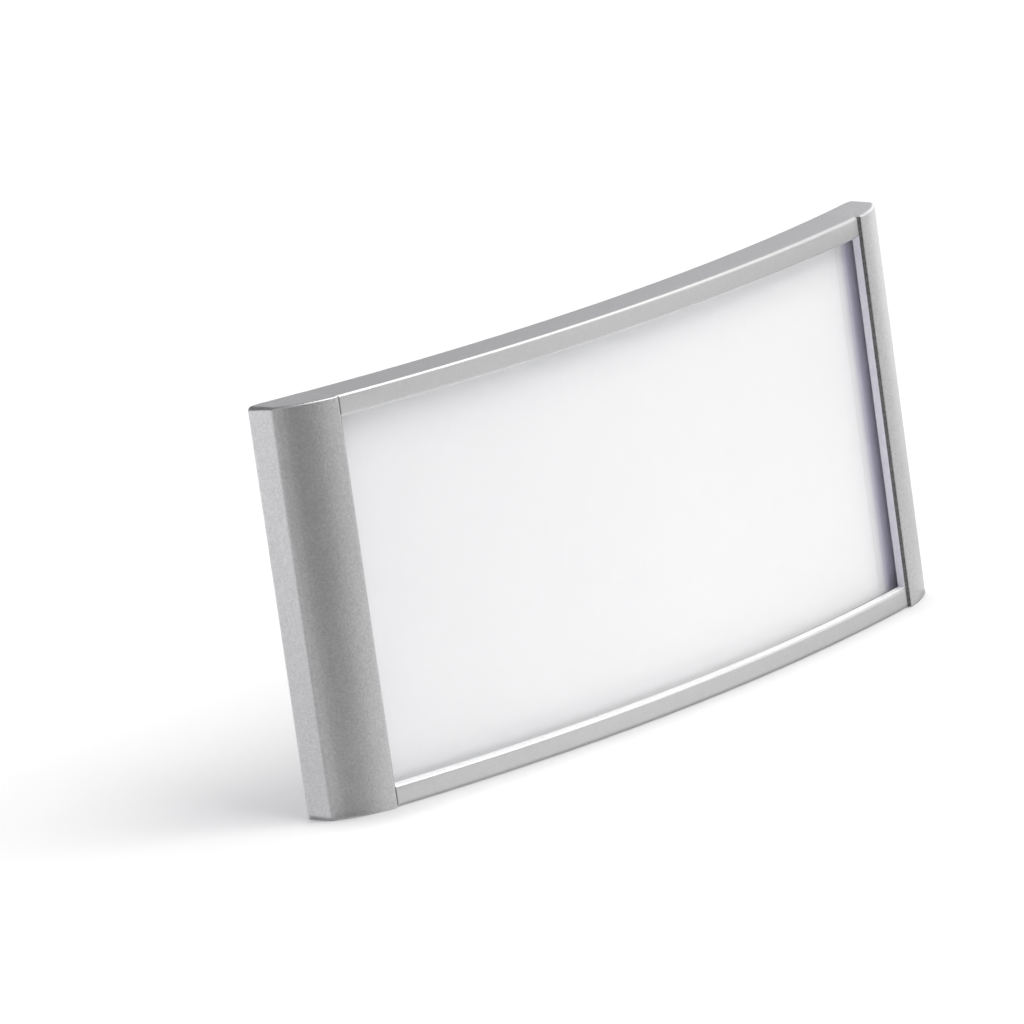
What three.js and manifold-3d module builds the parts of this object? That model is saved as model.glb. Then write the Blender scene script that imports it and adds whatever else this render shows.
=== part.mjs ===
import * as THREE from "three";
import { mergeVertices } from "three/addons/utils/BufferGeometryUtils.js";
import Module from "manifold-3d";

const wasm = await Module();
wasm.setup();

// Name badge, standing upright. Length along X, front toward -Y, up +Z, millimetres.
// Each piece is drawn with the frame's back corners on Y = 0 and its bottom face on Z = 0.
// The whole badge is then moved back so that its origin is midway between front and back.

// Whole frame
const FRAME_LENGTH = 71.2;
const FRAME_HEIGHT = 34.0;
const BACK_BOW = 4.55;
const RAIL_DEPTH = 4.15;
const EDGE_ROUNDING = 0.3;

// End blocks
const END_BLOCK_WIDTH = 5.15;
const SIDE_FACE_DEPTH = 2.95;
const SIDE_FACE_LEAN = 0.3;
const SIDE_EDGE_RADIUS = 0.9;
const BACK_EDGE_RADIUS = 0.35;
const SLANT_START_ANGLE = 50;
const SLANT_END_ANGLE = 17;
const BLOCK_PROUD = 0.22;

// Groove between end block and rail
const BLOCK_STEP_WIDTH = 0.28;
const GROOVE_WIDTH = 0.2;
const GROOVE_DEPTH = 0.12;

// Window
const RAIL_FACE_HEIGHT = 1.8;
const WINDOW_EDGE_CHAMFER = 0.12;

// Rebate behind the window
const LIP_DEPTH = 0.65;
const OUTER_WALL = 1.0;
const REBATE_REACH = 2.3;

// Stack in the rebate, from the front
const SEAT_GAP = 0.3;
const COVER_THICKNESS = 0.8;
const CARD_THICKNESS = 0.4;
const CARD_MARGIN = 0.2;

// Fastener bar on the back
const BAR_LENGTH = 45.0;
const BAR_HEIGHT = 13.0;
const BAR_PROUD = 1.0;
const BAR_CORNER = 2.0;
const BAR_EDGE_CHAMFER = 0.4;

// Roundness of long arcs and small roundings
const LONG_ARC_SEGMENTS = 56;
const SLANT_SEGMENTS = 8;
const SMALL_ARC_SEGMENTS = 4;

const CUT_CLEARANCE = 2.0;
const SLIVER = 0.01;

// Sizes that follow from the ones above
const halfLength = FRAME_LENGTH / 2;
const halfWindow = halfLength - END_BLOCK_WIDTH;
const backRadius = (halfLength ** 2 + BACK_BOW ** 2) / (2 * BACK_BOW);
const bowCentre = backRadius - BACK_BOW;
const frontRadius = backRadius + RAIL_DEPTH;
const coverFrontRadius = frontRadius - LIP_DEPTH - SEAT_GAP;
const coverBackRadius = coverFrontRadius - COVER_THICKNESS;
const cardFrontRadius = coverBackRadius - SEAT_GAP;
const cardBackRadius = cardFrontRadius - CARD_THICKNESS;
const plateFrontRadius = cardBackRadius - SEAT_GAP;
const halfRebate = halfWindow + REBATE_REACH;
const halfSheet = halfRebate - SEAT_GAP;
const sheetBottom = OUTER_WALL + SEAT_GAP;
const sheetTop = FRAME_HEIGHT - sheetBottom;
const depthShift = (BACK_BOW + RAIL_DEPTH - BAR_PROUD) / 2;

const paintedPlastic = {
  color: 0xb9b9bb,
  roughness: 0.42,
  metalness: 0.35,
};

/** Depth position of a bowed surface at a place along the length. */
function bowDepth(radius, x) {
  return bowCentre - Math.sqrt(radius ** 2 - x ** 2);
}

/** Points of a bowed surface between two places along the length. */
function bowPoints(radius, fromX, toX, segments) {
  const points = [];
  for (let i = 0; i <= segments; i += 1) {
    const x = THREE.MathUtils.lerp(fromX, toX, i / segments);
    points.push(new THREE.Vector2(x, bowDepth(radius, x)));
  }
  return points;
}

/** Points of a round arc that replaces the corner between two straight runs. */
function roundedCorner(before, corner, after, radius, segments) {
  const toBefore = before.clone().sub(corner).normalize();
  const toAfter = after.clone().sub(corner).normalize();
  const halfAngle = Math.acos(THREE.MathUtils.clamp(toBefore.dot(toAfter), -1, 1)) / 2;
  const setback = radius / Math.tan(halfAngle);
  const toCentre = toBefore.clone().add(toAfter).normalize();
  const centre = corner.clone().addScaledVector(toCentre, radius / Math.sin(halfAngle));
  const start = corner.clone().addScaledVector(toBefore, setback).sub(centre);
  const end = corner.clone().addScaledVector(toAfter, setback).sub(centre);
  const rounding = new THREE.ArcCurve(centre.x, centre.y, radius, start.angle(), end.angle(), false);
  return rounding.getPoints(segments);
}

/** Front outline of the right end block, from the groove to the back corner. */
function endBlockPoints() {
  const sideTop = new THREE.Vector2(halfLength - SIDE_FACE_LEAN, -SIDE_FACE_DEPTH);
  const backCorner = new THREE.Vector2(halfLength, 0);
  const stepEnd = halfWindow + BLOCK_STEP_WIDTH;
  const blockFront = bowDepth(frontRadius, halfWindow) - BLOCK_PROUD;
  const slantStart = new THREE.Vector2(stepEnd, blockFront);
  const endAngle = THREE.MathUtils.degToRad(SLANT_END_ANGLE);
  const startAngle = THREE.MathUtils.degToRad(SLANT_START_ANGLE);
  const run = sideTop.x - slantStart.x;
  const rise = sideTop.y - slantStart.y;
  const shallowRun = (run * Math.tan(startAngle) - rise) / (Math.tan(startAngle) - Math.tan(endAngle));
  const bend = new THREE.Vector2(
    slantStart.x + shallowRun,
    slantStart.y + shallowRun * Math.tan(endAngle),
  );
  const slant = new THREE.QuadraticBezierCurve(slantStart, bend, sideTop);
  const slantPoints = slant.getPoints(SLANT_SEGMENTS);
  const beforeEdge = slantPoints[SLANT_SEGMENTS - 1];
  const backInner = new THREE.Vector2(halfWindow, bowDepth(backRadius, halfWindow));
  return [
    ...slantPoints.slice(0, SLANT_SEGMENTS),
    ...roundedCorner(beforeEdge, sideTop, backCorner, SIDE_EDGE_RADIUS, SMALL_ARC_SEGMENTS),
    ...roundedCorner(sideTop, backCorner, backInner, BACK_EDGE_RADIUS, SMALL_ARC_SEGMENTS),
  ];
}

/** The same points on the other half of the badge, in the opposite order. */
function mirrored(points) {
  return points.map((point) => new THREE.Vector2(-point.x, point.y)).reverse();
}

/** Plan outline of the whole frame. */
function frameOutline() {
  const blockRight = endBlockPoints();
  const lastBack = blockRight[blockRight.length - 1];
  const railFront = bowPoints(frontRadius, -halfWindow, halfWindow, LONG_ARC_SEGMENTS);
  const back = bowPoints(backRadius, lastBack.x, -lastBack.x, LONG_ARC_SEGMENTS);
  return [
    ...mirrored(blockRight),
    ...railFront,
    ...blockRight,
    ...back.slice(1, LONG_ARC_SEGMENTS),
  ];
}

/** Plan outline of a bowed sheet between two radii. */
function sheetOutline(outerRadius, innerRadius, halfWidth) {
  return [
    ...bowPoints(outerRadius, -halfWidth, halfWidth, LONG_ARC_SEGMENTS),
    ...bowPoints(innerRadius, halfWidth, -halfWidth, LONG_ARC_SEGMENTS),
  ];
}

/** Solid from a plan outline, standing between two heights with rounded rims. */
function standingSolid(outline, bottom, top, rounding) {
  const geometry = new THREE.ExtrudeGeometry(new THREE.Shape(outline), {
    depth: top - bottom - 2 * rounding,
    bevelEnabled: rounding > 0,
    bevelThickness: rounding,
    bevelSize: rounding,
    bevelOffset: -rounding,
    bevelSegments: SMALL_ARC_SEGMENTS - 1,
    steps: 1,
  });
  geometry.translate(0, 0, bottom + rounding);
  return geometry;
}

/** Closed solid for joining and cutting. */
function toSolid(geometry) {
  const bare = geometry.clone();
  bare.deleteAttribute("normal");
  bare.deleteAttribute("uv");
  const merged = mergeVertices(bare, 1e-5);
  const mesh = new wasm.Mesh({
    numProp: 3,
    vertProperties: Float32Array.from(merged.attributes.position.array),
    triVerts: Uint32Array.from(merged.index.array),
  });
  return new wasm.Manifold(mesh);
}

/** Drawable geometry from a closed solid. */
function toGeometry(solid) {
  const mesh = solid.getMesh();
  const geometry = new THREE.BufferGeometry();
  const places = Float32Array.from(mesh.vertProperties);
  geometry.setAttribute("position", new THREE.BufferAttribute(places, mesh.numProp));
  geometry.setIndex(new THREE.BufferAttribute(Uint32Array.from(mesh.triVerts), 1));
  geometry.computeVertexNormals();
  return geometry;
}

/** Opening of the window, with its front rim chamfered on the rails. */
function windowCutter() {
  const bottom = RAIL_FACE_HEIGHT;
  const top = FRAME_HEIGHT - RAIL_FACE_HEIGHT;
  const outer = frontRadius + CUT_CLEARANCE;
  const inner = backRadius - CUT_CLEARANCE;
  const opening = standingSolid(sheetOutline(outer, inner, halfWindow), bottom, top, 0);
  let cutter = toSolid(opening);
  const chamferSteps = 2;
  for (let step = 1; step <= chamferSteps; step += 1) {
    const spread = (WINDOW_EDGE_CHAMFER * step) / chamferSteps;
    const depth = WINDOW_EDGE_CHAMFER - spread + WINDOW_EDGE_CHAMFER / chamferSteps;
    const rim = sheetOutline(outer, frontRadius - depth, halfWindow);
    cutter = cutter.add(toSolid(standingSolid(rim, bottom - spread, top + spread, 0)));
  }
  return cutter;
}

/** Small notch down the front where a rail meets an end block. */
function grooveCutter(side) {
  const front = bowDepth(frontRadius, halfWindow);
  const mouth = front - BLOCK_PROUD;
  const outline = [
    new THREE.Vector2(halfWindow - GROOVE_WIDTH, bowDepth(frontRadius, halfWindow - GROOVE_WIDTH) - SLIVER),
    new THREE.Vector2(halfWindow - GROOVE_WIDTH / 2, mouth - SLIVER),
    new THREE.Vector2(halfWindow + BLOCK_STEP_WIDTH / 3, front - SLIVER),
    new THREE.Vector2(halfWindow, front + GROOVE_DEPTH),
  ];
  const placed = side > 0 ? outline : mirrored(outline);
  return toSolid(standingSolid(placed, -CUT_CLEARANCE, FRAME_HEIGHT + CUT_CLEARANCE, 0));
}

/** Rebate that holds the cover, the card and the back plate. */
function rebateCutter() {
  const front = frontRadius - LIP_DEPTH;
  const outline = sheetOutline(front, backRadius - CUT_CLEARANCE, halfRebate);
  return toSolid(standingSolid(outline, OUTER_WALL, FRAME_HEIGHT - OUTER_WALL, 0));
}

/** One-piece frame: two end blocks joined by a top rail and a bottom rail. */
function frameGeometry() {
  const block = toSolid(standingSolid(frameOutline(), 0, FRAME_HEIGHT, EDGE_ROUNDING));
  const grooved = block.subtract(grooveCutter(1)).subtract(grooveCutter(-1));
  return toGeometry(grooved.subtract(windowCutter()).subtract(rebateCutter()));
}

/** Fastener bar: curved front that follows the back, flat back, rounded ends. */
function barGeometry() {
  const front = backRadius - SEAT_GAP;
  const halfBar = BAR_LENGTH / 2;
  const outline = [
    ...bowPoints(front, -halfBar, halfBar, LONG_ARC_SEGMENTS / 2),
    new THREE.Vector2(halfBar, BAR_PROUD - BAR_EDGE_CHAMFER),
    new THREE.Vector2(halfBar - BAR_EDGE_CHAMFER, BAR_PROUD),
    new THREE.Vector2(BAR_EDGE_CHAMFER - halfBar, BAR_PROUD),
    new THREE.Vector2(-halfBar, BAR_PROUD - BAR_EDGE_CHAMFER),
  ];
  const body = toSolid(standingSolid(outline, -BAR_HEIGHT / 2, BAR_HEIGHT / 2, 0));
  const face = new THREE.Shape();
  const x = halfBar;
  const z = BAR_HEIGHT / 2;
  face.moveTo(BAR_CORNER - x, -z);
  face.lineTo(x - BAR_CORNER, -z);
  face.absarc(x - BAR_CORNER, BAR_CORNER - z, BAR_CORNER, -Math.PI / 2, 0, false);
  face.lineTo(x, z - BAR_CORNER);
  face.absarc(x - BAR_CORNER, z - BAR_CORNER, BAR_CORNER, 0, Math.PI / 2, false);
  face.lineTo(BAR_CORNER - x, z);
  face.absarc(BAR_CORNER - x, z - BAR_CORNER, BAR_CORNER, Math.PI / 2, Math.PI, false);
  face.lineTo(-x, BAR_CORNER - z);
  face.absarc(BAR_CORNER - x, BAR_CORNER - z, BAR_CORNER, Math.PI, Math.PI * 1.5, false);
  const depth = BACK_BOW + BAR_PROUD + 2 * CUT_CLEARANCE;
  const rounded = new THREE.ExtrudeGeometry(face, {
    depth,
    bevelEnabled: false,
    curveSegments: SMALL_ARC_SEGMENTS,
  });
  rounded.rotateX(Math.PI / 2);
  rounded.translate(0, BAR_PROUD + CUT_CLEARANCE, 0);
  return toGeometry(body.intersect(toSolid(rounded)));
}

/** Named piece of the badge. */
function piece(name, geometry, finish) {
  const mesh = new THREE.Mesh(geometry, new THREE.MeshStandardMaterial(finish));
  mesh.name = name;
  return mesh;
}

const badge = new THREE.Group();
badge.name = "name_badge";

const frame = piece("frame", frameGeometry(), paintedPlastic);

const cover = piece(
  "clear_cover",
  standingSolid(sheetOutline(coverFrontRadius, coverBackRadius, halfSheet), sheetBottom, sheetTop, 0),
  { color: 0xeef2f5, roughness: 0.05, metalness: 0.0 },
);

const card = piece(
  "insert_card",
  standingSolid(
    sheetOutline(cardFrontRadius, cardBackRadius, halfSheet - CARD_MARGIN),
    sheetBottom + CARD_MARGIN,
    sheetTop - CARD_MARGIN,
    0,
  ),
  { color: 0xf6f6f7, roughness: 0.8, metalness: 0.0 },
);

const plate = piece(
  "back_plate",
  standingSolid(sheetOutline(plateFrontRadius, backRadius, halfSheet), sheetBottom, sheetTop, 0),
  { color: 0x9a9a9e, roughness: 0.55, metalness: 0.0 },
);

const bar = piece("magnet_bar", barGeometry(), { color: 0x2c2d30, roughness: 0.45, metalness: 0.1 });
bar.position.z = FRAME_HEIGHT / 2;

badge.add(frame, cover, card, plate, bar);
badge.position.y = depthShift;

export default badge;
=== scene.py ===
"""Looks of the curved name badge: refined pieces, finishes, studio and camera."""

import logging
import math
from dataclasses import dataclass
from enum import Enum
from typing import Callable, Sequence

import bmesh
import bpy
from mathutils import Matrix, Vector


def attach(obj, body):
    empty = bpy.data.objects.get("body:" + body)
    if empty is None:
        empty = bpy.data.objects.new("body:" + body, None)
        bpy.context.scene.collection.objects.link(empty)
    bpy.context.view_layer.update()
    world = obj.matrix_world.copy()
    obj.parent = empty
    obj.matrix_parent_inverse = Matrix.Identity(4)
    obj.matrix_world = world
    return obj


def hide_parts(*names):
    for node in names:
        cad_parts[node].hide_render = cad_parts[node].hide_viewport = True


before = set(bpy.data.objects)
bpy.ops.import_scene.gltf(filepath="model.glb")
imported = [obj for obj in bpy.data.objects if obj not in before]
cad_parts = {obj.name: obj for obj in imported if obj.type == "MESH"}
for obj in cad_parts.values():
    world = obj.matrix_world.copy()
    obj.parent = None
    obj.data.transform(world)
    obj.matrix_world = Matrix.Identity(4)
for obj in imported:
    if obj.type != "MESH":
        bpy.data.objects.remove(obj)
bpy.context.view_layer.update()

LOG = logging.getLogger("name_badge")
MM = 0.001
BODY = "root"
# Vertices closer than this are merged, in metres.
SAME_PLACE = 1e-7
# Vertices whose X differs by less than this stand in one column, in metres.
SAME_COLUMN = 1e-6

# A point in a plane, such as (x, y) seen from above or (layer, height) in a section.
PlanPoint = tuple[float, float]
Colour = tuple[float, float, float, float]
# A place, a direction or a colour without alpha.
Triple = tuple[float, float, float]
Piece = bpy.types.Object
Socket = bpy.types.NodeSocket
NodeTree = bpy.types.NodeTree
# Value or socket for each input of a node, by the input's name or number.
Feeds = dict[str | int, object]


class End(Enum):
    """The two ends of the badge, by their direction along X."""

    LEFT = -1
    RIGHT = 1


class Level(Enum):
    """The two rails of the frame."""

    BOTTOM = "bottom"
    TOP = "top"


@dataclass(frozen=True)
class BadgeSizes:
    """Sizes that more than one sub-assembly shares, in metres."""

    length: float = 71.2 * MM
    height: float = 34.0 * MM
    back_bow: float = 4.55 * MM
    rail_depth: float = 4.15 * MM
    block_width: float = 5.15 * MM
    rail_face: float = 1.8 * MM
    lip_depth: float = 0.65 * MM
    visible_lip: float = 0.84 * MM
    outer_wall: float = 1.0 * MM
    rebate_reach: float = 2.3 * MM
    seat_gap: float = 0.3 * MM
    cover_thickness: float = 0.8 * MM
    card_thickness: float = 0.4 * MM
    card_margin: float = 0.2 * MM
    bar_proud: float = 1.0 * MM

    @property
    def half_length(self) -> float:
        """Half of the badge's length."""
        return self.length / 2

    @property
    def half_window(self) -> float:
        """Half of the window's width."""
        return self.half_length - self.block_width

    @property
    def half_rebate(self) -> float:
        """Half of the rebate's width behind the window."""
        return self.half_window + self.rebate_reach

    @property
    def half_sheet(self) -> float:
        """Half of the width of the cover and the back plate."""
        return self.half_rebate - self.seat_gap

    @property
    def sheet_bottom(self) -> float:
        """Height of the lower edge of the cover and the back plate."""
        return self.outer_wall + self.seat_gap

    @property
    def back_radius(self) -> float:
        """Radius of the bowed back."""
        return (self.half_length**2 + self.back_bow**2) / (2 * self.back_bow)

    @property
    def depth_shift(self) -> float:
        """How far the badge is moved back so that its origin is midway in depth."""
        return (self.back_bow + self.rail_depth - self.bar_proud) / 2

    @property
    def bow_centre(self) -> float:
        """Depth position of the axis of the bow."""
        return self.back_radius - self.back_bow + self.depth_shift

    @property
    def cover_front(self) -> float:
        """Layer of the cover's front face, counted forward from the back."""
        return self.rail_depth - self.lip_depth - self.seat_gap

    @property
    def card_front(self) -> float:
        """Layer of the card's front face."""
        return self.cover_front - self.cover_thickness - self.seat_gap

    @property
    def plate_front(self) -> float:
        """Layer of the back plate's front face."""
        return self.card_front - self.card_thickness - self.seat_gap

    def bow_y(self, layer: float, x: float) -> float:
        """Depth position of a bowed layer.

        Args:
            layer: Distance of the layer in front of the bowed back.
            x: Place along the length.

        Returns:
            The Y coordinate of the layer at that place.
        """
        return self.bow_centre - math.sqrt((self.back_radius + layer) ** 2 - x * x)


SIZES = BadgeSizes()


class NodeHelper:
    """Short ways to add and link nodes in one tree."""

    def __init__(self, tree: NodeTree) -> None:
        """Keeps the tree.

        Args:
            tree: Shader, world or geometry tree that the nodes go into.
        """
        self.tree = tree

    @classmethod
    def cleared(cls, owner: bpy.types.Material | bpy.types.World) -> "NodeHelper":
        """Empties the node tree of a material or a world.

        Args:
            owner: The material or the world.

        Returns:
            Helper of the emptied tree.
        """
        owner.use_nodes = True
        owner.node_tree.nodes.clear()
        return cls(owner.node_tree)

    def declare(self, side: str, kinds: dict[str, str]) -> None:
        """Declares sockets of a node group.

        Args:
            side: INPUT or OUTPUT.
            kinds: Name of each socket and what it carries.
        """
        for name, kind in kinds.items():
            self.tree.interface.new_socket(name, in_out=side, socket_type=f"NodeSocket{kind}")

    def given(self) -> dict[str, Socket]:
        """Gives the group's declared inputs by name."""
        return {socket.name: socket for socket in self.add("NodeGroupInput").outputs}

    def add(self, kind: str, feeds: Feeds | None = None, **settings: object) -> bpy.types.Node:
        """Adds a node, sets its properties and feeds its inputs.

        Args:
            kind: Blender's type name of the node.
            feeds: Value or socket for each input, by its name or number.
            **settings: Properties of the node and their values.

        Returns:
            The new node.
        """
        node = self.tree.nodes.new(kind)
        for name, value in settings.items():
            setattr(node, name, value)
        for key, value in (feeds or {}).items():
            self.feed(node.inputs[key], value)
        return node

    def feed(self, socket: Socket, value: object) -> None:
        """Links a socket, or sets its value.

        Args:
            socket: Input to feed.
            value: Another socket, or a plain value.
        """
        if isinstance(value, bpy.types.NodeSocket):
            self.tree.links.new(value, socket)
        else:
            socket.default_value = value

    def math(self, operation: str, *values: object, clamp: bool = False) -> Socket:
        """Adds a math node.

        Args:
            operation: Name of the operation.
            *values: One value or socket for each input, in order.
            clamp: Whether the result stays between 0 and 1.

        Returns:
            The node's result.
        """
        feeds = dict(enumerate(values))
        return self.add("ShaderNodeMath", feeds, operation=operation, use_clamp=clamp).outputs[0]

    def plus(self, base: object, value: object, factor: object) -> Socket:
        """Adds a value times a factor to a base."""
        return self.math("ADD", base, self.math("MULTIPLY", value, factor))

    def mix(self, factor: object, first: object, second: object) -> Socket:
        """Mixes two colours.

        Args:
            factor: Share of the second colour.
            first: Colour at a share of 0.
            second: Colour at a share of 1.

        Returns:
            The mixed colour.
        """
        feeds = {"Factor": factor, 6: first, 7: second}
        return self.add("ShaderNodeMix", feeds, data_type="RGBA").outputs[2]

    def noise(self, place: object, scale: object, detail: float = 2.0, roughness: float = 0.55) -> Socket:
        """Adds a noise texture.

        Args:
            place: Socket with the position that the noise reads.
            scale: Number of features in a metre.
            detail: Number of finer layers.
            roughness: How strong each finer layer is beside the one before it.

        Returns:
            The noise's value.
        """
        feeds = {"Vector": place, "Scale": scale, "Detail": detail, "Roughness": roughness}
        return self.add("ShaderNodeTexNoise", feeds).outputs["Fac"]

    def spread(self, value: object, low: float, high: float) -> Socket:
        """Maps 0..1 to a new range.

        Args:
            value: Value or socket to map.
            low: Result at 0.
            high: Result at 1.

        Returns:
            The mapped value.
        """
        feeds = {"Value": value, "To Min": low, "To Max": high}
        return self.add("ShaderNodeMapRange", feeds).outputs["Result"]

    def step(self, value: object, low: float, high: float) -> Socket:
        """Adds a smooth step from 0 to 1.

        Args:
            value: Value or socket to map.
            low: Value that gives 0.
            high: Value that gives 1.

        Returns:
            The step.
        """
        feeds = {"Value": value, "From Min": low, "From Max": high}
        return self.add("ShaderNodeMapRange", feeds, interpolation_type="SMOOTHSTEP").outputs["Result"]

    def split(self, place: Socket) -> list[Socket]:
        """Gives the X, Y and Z of a position."""
        return list(self.add("ShaderNodeSeparateXYZ", {0: place}).outputs)

    def bump(self, height: object, distance: float, strength: float) -> Socket:
        """Adds a bump node.

        Args:
            height: Socket with the height.
            distance: Depth of the relief in metres.
            strength: How strongly it shows.

        Returns:
            The bumped normal.
        """
        feeds = {"Height": height, "Distance": distance, "Strength": strength}
        return self.add("ShaderNodeBump", feeds).outputs["Normal"]


class SurfaceEffect:
    """Shader node group that several finishes share, built once."""

    _built: dict[str, NodeTree] = {}
    NAME: str
    INPUTS: tuple[str, ...]
    OUTPUTS: tuple[str, ...]

    @classmethod
    def tree(cls) -> NodeTree:
        """Gives the group, and builds it the first time.

        Returns:
            The node group.
        """
        if cls.NAME not in SurfaceEffect._built:
            make = NodeHelper(bpy.data.node_groups.new(cls.NAME, "ShaderNodeTree"))
            make.declare("INPUT", {"Position": "Vector", **dict.fromkeys(cls.INPUTS, "Float")})
            make.declare("OUTPUT", dict.fromkeys(cls.OUTPUTS, "Float"))
            make.add("NodeGroupOutput", cls.fill(make, make.given()))
            SurfaceEffect._built[cls.NAME] = make.tree
        return SurfaceEffect._built[cls.NAME]

    @classmethod
    def fill(cls, make: NodeHelper, given: dict[str, Socket]) -> Feeds:
        """Adds the nodes of the effect.

        Args:
            make: Helper of the group's tree.
            given: The group's inputs.

        Returns:
            The socket behind each output.
        """
        raise NotImplementedError

    @classmethod
    def use(cls, make: NodeHelper, position: Socket, *values: float) -> dict[str, Socket]:
        """Adds the group to a material.

        Args:
            make: Helper of the material's tree.
            position: Object coordinates.
            *values: One value for each of the other inputs, in order.

        Returns:
            The group's outputs by name.
        """
        feeds = {"Position": position, **dict(zip(cls.INPUTS, values))}
        node = make.add("ShaderNodeGroup", feeds, node_tree=cls.tree())
        return {socket.name: socket for socket in node.outputs}


class PaintGrain(SurfaceEffect):
    """Fine grain of metallic paint: light and dark flakes over a soft mottle."""

    NAME = "paint grain"
    INPUTS = ("Flake Size", "Contrast")
    OUTPUTS = ("Shade", "Height", "Gloss")
    FINE_FREQUENCY = 0.85
    MOTTLE_SCALE = 420.0
    FLAKE_WEIGHT = 0.5
    MOTTLE_WEIGHT = 0.2
    MIDDLE = 0.85

    @classmethod
    def fill(cls, make: NodeHelper, given: dict[str, Socket]) -> Feeds:
        """Adds the flakes, the fine noise and the mottle.

        Args:
            make: Helper of the group's tree.
            given: The group's inputs.

        Returns:
            The socket behind each output.
        """
        frequency = make.math("DIVIDE", 1.0, given["Flake Size"])
        feeds = {"Vector": given["Position"], "Scale": frequency}
        flakes = make.add("ShaderNodeTexVoronoi", feeds, feature="F1")
        tint = make.add("ShaderNodeSeparateColor", {0: flakes.outputs["Color"]}).outputs
        fine_scale = make.math("MULTIPLY", frequency, cls.FINE_FREQUENCY)
        fine = make.noise(given["Position"], fine_scale, detail=3.0, roughness=0.5)
        soft = make.noise(given["Position"], cls.MOTTLE_SCALE)
        mixed = make.plus(make.plus(fine, tint[0], cls.FLAKE_WEIGHT), soft, cls.MOTTLE_WEIGHT)
        shade = make.plus(1.0, make.math("SUBTRACT", mixed, cls.MIDDLE), given["Contrast"])
        return {"Shade": shade, "Height": fine, "Gloss": tint[1]}


class HandlingMarks(SurfaceEffect):
    """Faint smears and hairline scratches from handling."""

    NAME = "handling marks"
    INPUTS = ("Amount",)
    OUTPUTS = ("Smear", "Scratch")
    SMEAR_SCALE = 90.0
    LINE_SCALE = 800.0
    LINE_STRETCH = (0.12, 1.0, 1.0)
    LINE_TURN = (0.1, 0.06, 0.35)
    LINE_WIDTH = 0.012
    PATCH_SCALE = 260.0
    PATCH_LIMIT = 0.6

    @classmethod
    def fill(cls, make: NodeHelper, given: dict[str, Socket]) -> Feeds:
        """Adds the smears, and thin lines that show only in patches.

        Args:
            make: Helper of the group's tree.
            given: The group's inputs.

        Returns:
            The socket behind each output.
        """
        position, amount = given["Position"], given["Amount"]
        smear = make.noise(position, cls.SMEAR_SCALE, detail=3.0)
        feeds = {"Vector": position, "Scale": cls.LINE_STRETCH, "Rotation": cls.LINE_TURN}
        stretched = make.add("ShaderNodeMapping", feeds).outputs["Vector"]
        feeds = {"Vector": stretched, "Scale": cls.LINE_SCALE}
        lines = make.add("ShaderNodeTexVoronoi", feeds, feature="DISTANCE_TO_EDGE")
        thin = make.math("LESS_THAN", lines.outputs["Distance"], cls.LINE_WIDTH)
        patch = make.math("GREATER_THAN", make.noise(position, cls.PATCH_SCALE, detail=1.0), cls.PATCH_LIMIT)
        scratch = make.math("MULTIPLY", make.math("MULTIPLY", thin, patch), amount)
        return {"Smear": make.math("MULTIPLY", smear, amount), "Scratch": scratch}


class Finish:
    """A material that is made once and then shared."""

    _made: dict[str, bpy.types.Material] = {}
    name: str

    def material(self) -> bpy.types.Material:
        """Gives the material, and builds it the first time.

        Returns:
            The material of this finish.
        """
        if self.name not in Finish._made:
            material = bpy.data.materials.new(self.name)
            make = NodeHelper.cleared(material)
            position = make.add("ShaderNodeTexCoord").outputs["Object"]
            make.add("ShaderNodeOutputMaterial", {"Surface": self.surface(make, position)})
            Finish._made[self.name] = material
        return Finish._made[self.name]

    def surface(self, make: NodeHelper, position: Socket) -> Socket:
        """Adds the nodes of the finish.

        Args:
            make: Helper of the material's tree.
            position: Object coordinates.

        Returns:
            The finished surface.
        """
        raise NotImplementedError


@dataclass(frozen=True)
class SilverPaint(Finish):
    """Satin silver paint with metal flakes on moulded plastic."""

    name: str
    colour: Colour = (0.56, 0.56, 0.56, 1.0)
    metallic: float = 0.72
    roughness: float = 0.36
    roughness_spread: float = 0.03
    smear_roughness: float = 0.08
    scratch_roughness: float = 0.1
    flake_size: float = 0.17 * MM
    contrast: float = 0.08
    relief: float = 0.008 * MM
    relief_strength: float = 0.8
    marks: float = 0.35

    def surface(self, make: NodeHelper, position: Socket) -> Socket:
        """Adds flakes, mottle, relief and faint marks of handling.

        Args:
            make: Helper of the material's tree.
            position: Object coordinates.

        Returns:
            The painted surface.
        """
        grain = PaintGrain.use(make, position, self.flake_size, self.contrast)
        marks = HandlingMarks.use(make, position, self.marks)
        feeds = {0: self.colour[:3], "Scale": grain["Shade"]}
        colour = make.add("ShaderNodeVectorMath", feeds, operation="SCALE").outputs["Vector"]
        spread = self.roughness_spread
        gloss = make.spread(grain["Gloss"], self.roughness - spread, self.roughness + spread)
        smeared = make.plus(gloss, marks["Smear"], self.smear_roughness)
        feeds = {
            "Base Color": colour,
            "Metallic": self.metallic,
            "Roughness": make.plus(smeared, marks["Scratch"], self.scratch_roughness),
            "Normal": make.bump(grain["Height"], self.relief, self.relief_strength),
        }
        return make.add("ShaderNodeBsdfPrincipled", feeds).outputs["BSDF"]


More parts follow.
